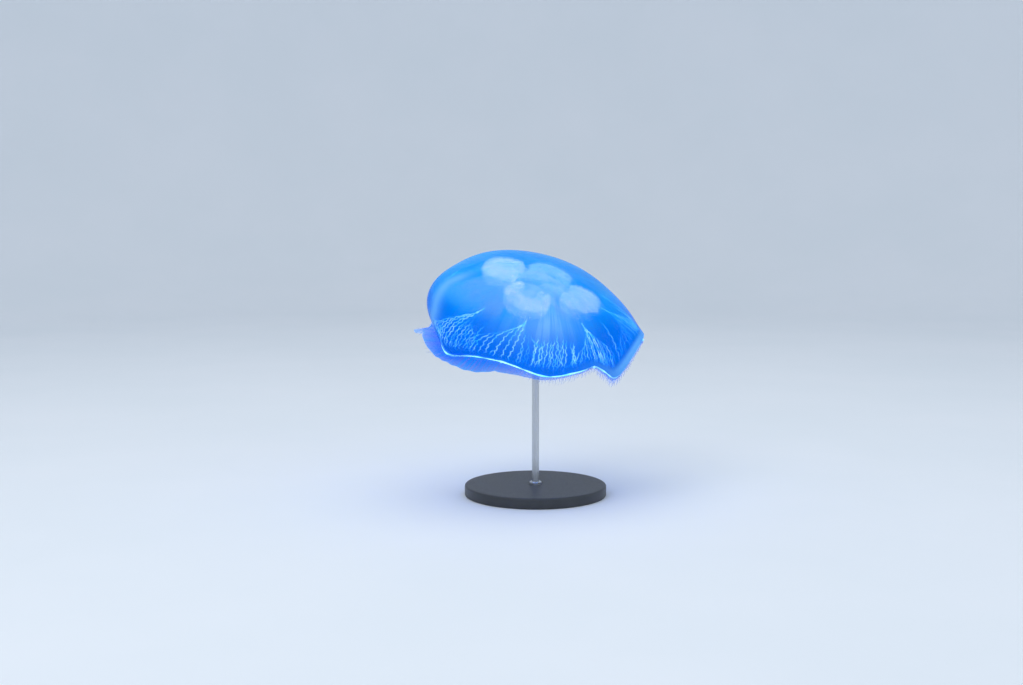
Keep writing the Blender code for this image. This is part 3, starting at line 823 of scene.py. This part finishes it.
def loose_canals(rng):
    """Shorter canals that begin side by side between two fans."""
    centre = radians(TURN + 45 * LOOSE_FAN + 22.5)
    paths = []
    for k in range(LOOSE_CANALS):
        az = centre + radians(LOOSE_WIDE) * (2 * (k + rng.uniform(0.2, 0.8)) / LOOSE_CANALS - 1)
        lean = radians(rng.uniform(-1.6, 1.6))
        start, stop = rng.uniform(0.66, 0.80), CANAL_END - rng.uniform(0.0, 0.02)
        s, way, glow = canal_path(rng, (start, az - lean), (stop, az + lean), rng.uniform(0.55, 1.0))
        paths.append((s, way, glow * np.clip((s - start) / 0.08, 0.15, 1)))
    return paths


def canal_links(rng, paths):
    """Short slanting links between neighbouring canals."""
    links = []
    outer_ones = sorted((p for p in paths if p[0][-1] > CANAL_END - 0.03), key=lambda p: p[1][-1])
    for one, two in zip(outer_ones, outer_ones[1:]):
        first = max(one[0][0], two[0][0]) + 0.01
        if abs(one[1][-1] - two[1][-1]) > 0.06 or rng.random() > CANAL_LINKS or first > 0.92:
            continue
        share, slant = rng.uniform(first, 0.92), rng.uniform(-0.03, 0.03)
        a, b = np.interp(share, one[0], one[1]), np.interp(share + slant, two[0], two[1])
        links.append(canal_path(rng, (share, a), (share + slant, b), 0.6 * one[2].max(), 0.0005))
    return links


def canals():
    """The branching canals of the under surface, as fine threads in the jelly."""
    paths = []
    for k in range(8):
        rng = random.Random(SEED + 10 * k)
        paths += placed_fan(k, rng)
    paths += loose_canals(random.Random(SEED + 50))
    paths += canal_links(rng, paths)
    net = Joined()
    for s, az, glow in paths:
        az = az + np.radians(np.interp(s, (0.55, CANAL_END), CANAL_SWIRL))
        fade = np.clip((max(CANAL_END, s[-1]) + 0.01 - s) / 0.06, 0.25, 1)
        radius = CANAL_R * (0.40 + 0.60 * glow) * fade ** 0.5
        verts, faces = thread(inner(s, az, -CANAL_DEEP), radius)
        net.add(verts, faces, glow=np.repeat(glow * fade, 6))
    net.make("canal_network", [canal_finish()])


def margin_cord():
    """The ring canal and thickened edge that run round the margin, fullest in front."""
    az = full_turn(720)
    bolder = hump(az, *CORD_BOLD)
    out = (0.62 + 0.25 * bolder)[:, None]
    path = out * outer(1.0, az) + (1 - out) * inner(1.0, az)
    full = plateau(az, *CORD_FRONT) + sum(size * hump(az, at, wide) for at, wide, size in CORD_MORE)
    full = np.clip(full, 0, 1) * (1 - 0.5 * hump(az, *CORD_DIM))
    swell = 1 + 0.15 * np.sin(23 * az) + 0.10 * np.sin(57 * az + 1.0)
    radius = CORD_R * (0.72 + 0.28 * full + 0.60 * bolder) * swell
    verts, faces = thread(path, radius, sides=10, closed=True)
    cord = piece("margin_cord", verts, faces, [rim_finish()], {"glow": np.repeat(full, 10)})


def sense_bulbs():
    """Eight small sense bulbs, one in each notch of the margin, each under its hood."""
    bulbs = Joined()
    for k in range(8):
        az = radians(NOTCH_0 + 45 * k)
        root = 0.5 * (outer(1.0, az) + inner(1.0, az))
        way = unit(outer(1.0, az) - outer(0.99, az))
        u = np.linspace(-1, 1, 15)
        girth = 0.9 * np.sqrt(np.maximum(1 - u ** 2, 0.0004)) * (1 + 0.35 * u)
        verts, faces = thread(root + way * (BULB_OUT + BULB_LONG * u[:, None]), BULB_R * girth, sides=12)
        bulbs.add(verts, faces)
    bulbs.make("sense_bulbs", [bulb_finish()])


# ---- the tentacles and their veil
def drift(az):
    """Where along the margin the tentacles drift aside instead of hanging."""
    return plateau(az, DRIFT_AT, DRIFT_WIDE)


def flow(az):
    """Directions in which the tentacles trail from the margin, across their curtain and along it."""
    along = unit(outer(1.0, az + 0.01) - outer(1.0, az - 0.01))
    zero = np.zeros_like(az)
    hang = np.stack((0.28 * np.cos(az), 0.28 * np.sin(az), zero - 0.95), -1)
    aside = np.stack((zero - 0.90, zero + 0.10, 0.62 * hump(az, FLUNG_AT, FLUNG_WIDE) - 0.5), -1)
    share = drift(az)[..., None]
    way = unit(unit(hang) * (1 - share) + unit(aside) * share)
    way = unit(way - along * (way * along).sum(-1, keepdims=True) * DRIFT_TURN * share)
    return way, unit(np.cross(way, along)), along


def lip_root(az):
    """Points of the margin's lip from which the tentacles and the veil spring."""
    return outer(1.0, az) * ROOT_OUT + inner(1.0, az) * (1 - ROOT_OUT)


def fringe_length(az):
    """Length of the tentacles along the margin: short at the notches, long where they are flung up."""
    notch = np.abs(np.sin(4 * (az - radians(NOTCH_0)))) ** 0.5
    long = FRINGE_LONG + FRINGE_TRAIL * hump(az, FLUNG_AT, FLUNG_WIDE)
    return long * (0.55 + 0.45 * notch) * (1 + 0.06 * np.sin(5 * az))


def tentacles(number, mat):
    """The fine tentacles under one lappet."""
    rng = random.Random(SEED + 100 + number)
    fringe = Joined()
    for k in range(TENTACLES):
        az = radians(NOTCH_0 + 45 * number + 45 * (k + 0.5 + rng.uniform(-0.3, 0.3)) / TENTACLES)
        way, thick, along = flow(az)
        long = fringe_length(az) * rng.uniform(*TENTACLE_LONG)
        u = np.linspace(0, 1, 15)[:, None]
        lean = rng.uniform(-TENTACLE_LEAN, TENTACLE_LEAN)
        sway = rng.uniform(*TENTACLE_SWAY)
        turn, count = rng.uniform(0, 6.28), rng.uniform(0.8, 1.7)
        beside = lean * long * u ** 1.4 + sway * np.sin(2 * pi * count * u + turn) * u
        across = 0.6 * sway * np.sin(2 * pi * count * u + turn + 1.5) * u
        path = lip_root(az) + way * long * u + along * beside + thick * across
        verts, faces = thread(path, TENTACLE_R * (1 - 0.6 * u[:, 0]), sides=5)
        fringe.add(verts, faces, along=np.repeat(u[:, 0], 5), clear=1 - 0.55 * drift(az))
    curtain = fringe.make(f"tentacles_{number + 1}", [mat])
    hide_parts(f"tentacle_fringe_{number + 1}")


def margin_veil():
    """The thin flap of the margin, broadest where it is flung aside."""
    rows, az = 9, full_turn(SKIN_ROUND * 2)
    way, thick, _ = flow(az)
    far, deep = plateau(az, *VEIL_MILKY), hump(az, *VEIL_DEEP)
    least, drifting, milky, flung = VEIL_LONG
    long = fringe_length(az) * (least + drifting * drift(az) + milky * far
                                + flung * hump(az, FLUNG_AT, FLUNG_WIDE))
    long = long * (1 - 0.45 * hump(az, *VEIL_SHORT)) + VEIL_MORE * deep
    way = unit(way - np.array((0, 0, 1.2)) * deep[:, None])
    u = np.linspace(0, 1, rows)[:, None, None]
    ripple = 0.0005 * np.sin(60 * az)[:, None]
    rings = lip_root(az) + way * long[:, None] * u + thick * ripple * u
    layout = np.stack((np.cos(az), np.sin(az), np.zeros_like(az)), -1)
    flap = piece("margin_veil", rings.reshape(-1, 3), grid_faces(rows, len(az)), [veil_finish()],
                 {"layout": np.tile(layout, (rows, 1)), "along": np.repeat(u.ravel(), len(az)),
                  "milky_edge": np.tile(far, rows),
                  "cover": np.tile(0.42 + 0.50 * drift(az) + 0.40 * far, rows)})


# ---- the organs
def toward(azimuth, radii):
    """A way across from the axis: its azimuth in degrees, its length in radii of the bell."""
    return radii * BELL_R * np.array((cos(radians(azimuth)), sin(radians(azimuth)), 0))


def taper(u):
    """Girth of a roll along its length: full in the middle, rounded off at its two ends."""
    rounded_off = [np.sqrt(1 - np.clip(1 - x * 18, 0, 1) ** 2) for x in (u, 1 - u)]
    return np.maximum((0.62 + 0.38 * np.sin(pi * u) ** 0.5) * rounded_off[0] * rounded_off[1], 0.02)


def gonad_course(number, u, girth):
    """Middle of the roll, sunk in the jelly, with the ways across it and down."""
    turn = radians(TURN + 90 * number) + pi + radians(GONAD_OPEN) + (2 * pi - 2 * radians(GONAD_OPEN)) * u
    out = np.stack((np.cos(turn), np.sin(turn), np.zeros_like(u)), -1)
    ring = GONAD_RING * (1 + 0.07 * np.sin(9 * turn))[:, None]
    at = organ_middle() + toward(TURN + 90 * number, GONAD_R[number]) + out * ring
    roof = ceiling(at[:, 0], at[:, 1])
    beside = at + out * 0.002
    side = unit(ceiling(beside[:, 0], beside[:, 1]) - roof)
    down = unit(np.cross(unit(np.cross((0, 0, 1), out)), side))
    down = np.where(down[:, 2:] > 0, -down, down)
    return roof + down * (GONAD_ROLL[1] * girth + 2.6 * GAP - GONAD_SINK[number])[:, None], side, down


def gonad(number, mat, soft):
    """A ruffled horseshoe, half sunk in the jelly and open towards the mouth, in its soft sheath."""
    count, sides = 200, 32
    u = np.linspace(0, 1, count)
    girth = taper(u)[:, None]
    mid, side, down = gonad_course(number, u, girth[:, 0])
    a = full_turn(sides)[None]
    fold = np.sin(2 * pi * 15 * u[:, None] + 1.6 * np.sin(a) + 2.5 * np.sin(5 * u)[:, None])
    small = np.sin(2 * pi * 37 * u[:, None] + 3.0 * np.cos(a) + number)
    swell = girth * (1 + 0.035 * fold + 0.015 * small)
    ruff = (side[:, None] * (GONAD_ROLL[0] * np.cos(a) * swell)[..., None]
            + down[:, None] * (GONAD_ROLL[1] * np.sin(a) * swell)[..., None])
    crest = np.clip(0.5 + 0.35 * fold + 0.2 * small, 0, 1).ravel()
    faces = grid_faces(count, sides) + end_caps(count, sides)
    glow = np.full(len(crest), GONAD_GLOW[number])
    roll = piece(f"gonad_roll_{number + 1}", (mid[:, None] + ruff).reshape(-1, 3), faces, [mat],
                 {"crest": crest, "glow": glow})
    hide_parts(f"gonad_{number + 1}")
    layers = Joined()
    for wider, cover in SHEATHS:
        layers.add((mid[:, None] + wider * ruff).reshape(-1, 3), faces, cover=cover * glow)
    for made in (roll, layers.make(f"gonad_sheath_{number + 1}", [soft])):
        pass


def pouches(mat):
    """Thin milky veil over each gonad and over the stomach between them."""
    rings, sides = 26, 96
    spots = [(toward(TURN + 225, radii), wide, dense) for radii, wide, dense in STOMACH]
    spots += [(toward(TURN + 90 * k, GONAD_R[k]), POUCH_R, POUCH_DENSE[k]) for k in range(4)]
    r, a = np.linspace(0.02, 1, rings)[:, None], full_turn(sides)[None]
    veil = Joined()
    for place, wide, dense in spots:
        centre = organ_middle() + place
        edge = wide * (1 + 0.05 * np.sin(3 * a + 1) + 0.04 * np.sin(7 * a))
        roof = ceiling(centre[0] + r * edge * np.cos(a), centre[1] + r * edge * np.sin(a))
        verts = roof + np.array((0, 0, 1)) * (POUCH_H * (1 - r ** 2.2) + 0.0004)[..., None]
        cover = dense * np.repeat((1 - r[:, 0] ** 2) ** 0.9, sides)
        veil.add(verts.reshape(-1, 3), grid_faces(rings, sides) + end_caps(rings, sides)[:1], cover=cover)
    veil.make("gastric_pouches", [mat])


def mouth_side(turn):
    """Reach of the mouth's rounded square, whose corners point along the arms."""
    return 0.90 + 0.10 * np.cos(4 * (turn - radians(TURN + 45)))


def mouth(mat):
    """The short square tube that hangs from the middle of the bell."""
    rows, sides = 30, 96
    top, turn, drops = mouth_top(), full_turn(sides), np.linspace(0, 1, rows)
    half = MOUTH_HALF * np.interp(drops, (0.0, 0.12, 0.3, 0.7, 1.0), (1.25, 1.06, 0.98, 0.92, 1.0))
    rings = []
    for drop, reach in zip(drops, half):
        wall = reach * mouth_side(turn) * (1 + 0.02 * np.sin(24 * turn) * drop)
        x, y = top[0] + wall * np.cos(turn), top[1] + wall * np.sin(turn)
        roof = ceiling(x, y, UNDER_JELLY)[:, 2]
        z = roof + (top[2] - roof) * min(1.0, drop * 4) - MOUTH_DROP * drop
        rings.append(np.stack((x, y, z), -1))
    faces = grid_faces(rows, sides) + end_caps(rows, sides)
    edge = np.repeat(0.3 + 0.7 * drops ** 3, sides)
    tube = piece("mouth_skin", np.concatenate(rings), faces, [mat], {"edge": edge})
    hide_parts("mouth_tube")


def arm_path(number, t):
    """Centre line of an oral arm."""
    az = radians(TURN + 45 + 90 * number) + ARM_SWAY * np.sin(2.6 * t + 1.7 * number) * t
    top = mouth_top()
    leave, end = (radians(a) for a in ARM_HANG)
    bend = end - leave
    long = ARM_LONG[number] * BELL_R
    r = MOUTH_HALF + 0.0004 + long * (np.sin(leave + bend * t) - sin(leave)) / bend
    drop = long * (cos(leave) - np.cos(leave + bend * t)) / bend
    return np.stack((top[0] + np.cos(az) * r, top[1] + np.sin(az) * r,
                     top[2] - MOUTH_DROP * 0.86 - drop), -1)


def arm(number, mat):
    """A folded ribbon whose two edges are frilled."""
    rows, cols = 220, 49
    t = np.linspace(0, 1, rows)
    q = np.linspace(-1, 1, cols)
    edge = np.abs(q)
    around = radians(TURN + 45 + 90 * number)
    side = np.array((-sin(around), cos(around), 0))
    here = arm_path(number, t)
    ahead = unit(arm_path(number, t + 0.01) - arm_path(number, t - 0.01))
    up = unit(np.cross(ahead, side))
    wide = ARM_WIDTH * (0.40 + 1.6 * t * (1 - t)) * (1 - 0.75 * t ** 1.8)
    grow = np.minimum(1.0, 4 * t + 0.05) * (1 - 0.5 * t)
    tt, qq = t[:, None], np.sign(q)[None]
    broad = ARM_BROAD * np.sin(2 * pi * (3.25 - 0.15 * qq) * tt + number + 1.0 + qq)
    frill = ARM_FRILL * np.sin(2 * pi * FRILLS * tt + 1.3 * qq + number) * edge ** 2
    lace = ARM_LACE * np.sin(2 * pi * 31.0 * tt + 2.0 * qq) * edge ** 4
    lift = (broad + frill + lace) * edge[None] ** 2 * grow[:, None]
    across = np.sign(q) * (1.2 * edge - 0.2 * edge ** 2)
    pull = 0.35 * frill * edge[None] ** 3 * grow[:, None] * np.cos(2 * pi * FRILLS * tt)
    mid = (here[:, None] + side * (wide[:, None] * across[None] + pull)[..., None]
           - up[:, None] * (0.62 * wide[:, None] * (0.36 * edge + 0.64 * edge ** 2) + lift)[..., None])
    thick = (ARM_KEEL * (1 - edge) ** 2 + ARM_EDGE)[None, :, None] * (1 - 0.5 * t)[:, None, None]
    over, under = mid + up[:, None] * thick * 0.6, mid - up[:, None] * thick * 0.4
    rings = np.concatenate((over, under[:, ::-1]), 1)
    ring = rings.shape[1]
    faces = grid_faces(rows, ring)
    for first in (0, (rows - 1) * ring):
        cap = [[first + k, first + k + 1, first + ring - 2 - k, first + ring - 1 - k]
               for k in range(cols - 1)]
        faces += cap if first else [c[::-1] for c in cap]
    edges = np.tile(np.concatenate((edge, edge[::-1])), rows)
    ribbon = piece(f"arm_frill_{number + 1}", rings.reshape(-1, 3), faces, [mat], {"edge": edges})
    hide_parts(*(f"oral_arm_{number + 1}_{part}" for part in ("base", "middle", "tip")))


# ---- the stand
def turned(profile, sides):
    """Rings and faces of a body turned from radii and heights, closed on its axis."""
    turn = full_turn(sides)
    rings = [np.stack((r * np.cos(turn), r * np.sin(turn), np.full(sides, z)), -1) for r, z in profile]
    return np.concatenate(rings), grid_faces(len(rings), sides) + end_caps(len(rings), sides)


def rounded(radius, z, bevel, first, last, steps=6):
    """Profile points of a rounded corner, its centre one bevel inside it."""
    return [(radius - bevel + bevel * cos(radians(a)), z + bevel * sin(radians(a)))
            for a in np.linspace(first, last, steps)]


def stand_plate(coat):
    """The round base, its rim broken below and rounded above."""
    low, high = BASE_ROUND
    plate = [(BASE_R - low, 0.0), *rounded(BASE_R, low, low, -60, 0, 4),
             *rounded(BASE_R, BASE_H - high, high, 0, 90), (BASE_R - 0.006, BASE_H), (0.012, BASE_H)]
    return piece("stand_plate", *turned(plate, 160), [coat], posed=False)


def stand_cup(steel):
    """The dish under the mouth, in the animal's lean."""
    dish = [(ROD_R * 1.15, -PAD_H), (PAD_R * 0.62, -0.80 * PAD_H), (PAD_R * 0.82, -0.55 * PAD_H),
            (PAD_R * 0.94, -0.38 * PAD_H), (PAD_R, -0.22 * PAD_H),
            *rounded(PAD_R, -0.0006, 0.0006, 0, 90, 4)]
    verts, faces = turned(dish, 64)
    return piece("stand_cup", verts + np.array(FOOT), faces, [steel])


def stand_post(steel):
    """The rod with its collar, cut at its top to the slant of the dish."""
    sides = 48
    profile = [(COLLAR_R, BASE_H), (COLLAR_R, BASE_H + 0.0022), (COLLAR_R - 0.0006, BASE_H + 0.003),
               (ROD_R, BASE_H + 0.0034), (ROD_R, HANG - 0.03), (ROD_R, HANG)]
    verts, faces = turned(profile, sides)
    normal = POSE.to_3x3() @ Vector((0, 0, 1))
    seat = POSE @ (FOOT - Vector((0, 0, PAD_H + GAP)))
    tops = verts[-sides:]
    tops[:, 2] = ((seat.x - tops[:, 0]) * normal.x + (seat.y - tops[:, 1]) * normal.y) / normal.z + seat.z
    return piece("stand_post", verts, faces, [steel], posed=False)


def stand():
    steel, coat = steel_finish(), coat_finish()
    for made, node in ((stand_plate(coat), "stand_base"), (stand_cup(steel), "stand_pad"),
                       (stand_post(steel), "stand_rod")):
        made.data.shade_smooth()
        made.data.set_sharp_from_angle(angle=radians(32))
        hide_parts(node)


# ---- the room
def pale_finish():
    mat, n, shader = finish("pale_sweep", Roughness=0.85)
    pale = n.mix(n.cloud(3.0, 0.2, 0.8), (0.82, 0.86, 0.90), (0.85, 0.88, 0.92))
    n.feed(shader.inputs["Base Color"], pale)
    return mat


def sweep():
    """A pale floor that curves up into a plain wall all round."""
    curve = [(r, 0.0) for r in (0.3, 0.8, 1.6, FLOOR_R)]
    curve += [(FLOOR_R + WALL_ROUND * sin(a), WALL_ROUND * (1 - cos(a)))
              for a in np.linspace(0, pi / 2, 24)[1:]]
    rings, faces = turned(curve + [(FLOOR_R + WALL_ROUND, WALL_H)], 128)
    mesh = bpy.data.meshes.new("pale_sweep")
    mesh.from_pydata(rings.tolist(), [], [face[::-1] for face in faces[:-1]])
    mesh.materials.append(pale_finish())
    mesh.shade_smooth()
    floor = placed("pale_sweep", mesh)


def point(obj, place, aim):
    """Puts a lamp or the camera at a place and turns it to what it looks at."""
    obj.location = place
    obj.rotation_mode = "QUATERNION"
    obj.rotation_quaternion = (Vector(aim) - Vector(place)).to_track_quat("-Z", "Y")


def lamp(name, place, size, power, colour=(1.0, 1.0, 1.0), aim=(0.0, 0.0, 0.2)):
    data = bpy.data.lights.new(name, "AREA")
    data.shape = "DISK"
    data.size, data.energy, data.color = size, power, colour
    point(placed(name, data), place, aim)


def light():
    world = bpy.data.worlds.new("soft_room")
    world.use_nodes = True
    back = world.node_tree.nodes["Background"]
    back.inputs["Color"].default_value = (0.80, 0.88, 1.0, 1.0)
    back.inputs["Strength"].default_value = 0.50
    bpy.context.scene.world = world
    lamp("overhead_softbox", (0.0, 0.0, 3.0), 3.4, 40.0, (0.92, 0.97, 1.0), (0.0, 0.0, 0.0))
    lamp("key_lamp", (-0.9, -1.1, 1.6), 1.0, 7.0)
    lamp("fill_lamp", (1.4, -1.0, 0.9), 1.4, 2.0, (0.86, 0.93, 1.0))


def camera():
    data = bpy.data.cameras.new("camera")
    data.lens, data.sensor_width = 50.0, 36.0
    data.clip_start = 0.05
    above = radians(ABOVE)
    obj = placed("camera", data)
    point(obj, Vector(AIM) + Vector((0, -cos(above), sin(above))) * AWAY, AIM)
    bpy.context.scene.camera = obj


# ---- the whole
def build():
    camera()
    light()
    sweep()
    bell_skin()
    canals()
    margin_cord()
    sense_bulbs()
    margin_veil()
    threads, tissue, frill = tentacle_finish(), gonad_finish(), arm_finish()
    for k in range(8):
        tentacles(k, threads)
    veil_of_milk = pouch_finish()
    for k in range(4):
        gonad(k, tissue, veil_of_milk)
        arm(k, frill)
    pouches(veil_of_milk)
    mouth(arm_finish("mouth_tissue"))
    stand()
    bpy.context.scene.view_settings.view_transform = "Standard"
    bpy.context.scene.cycles.transparent_max_bounces = 24


build()
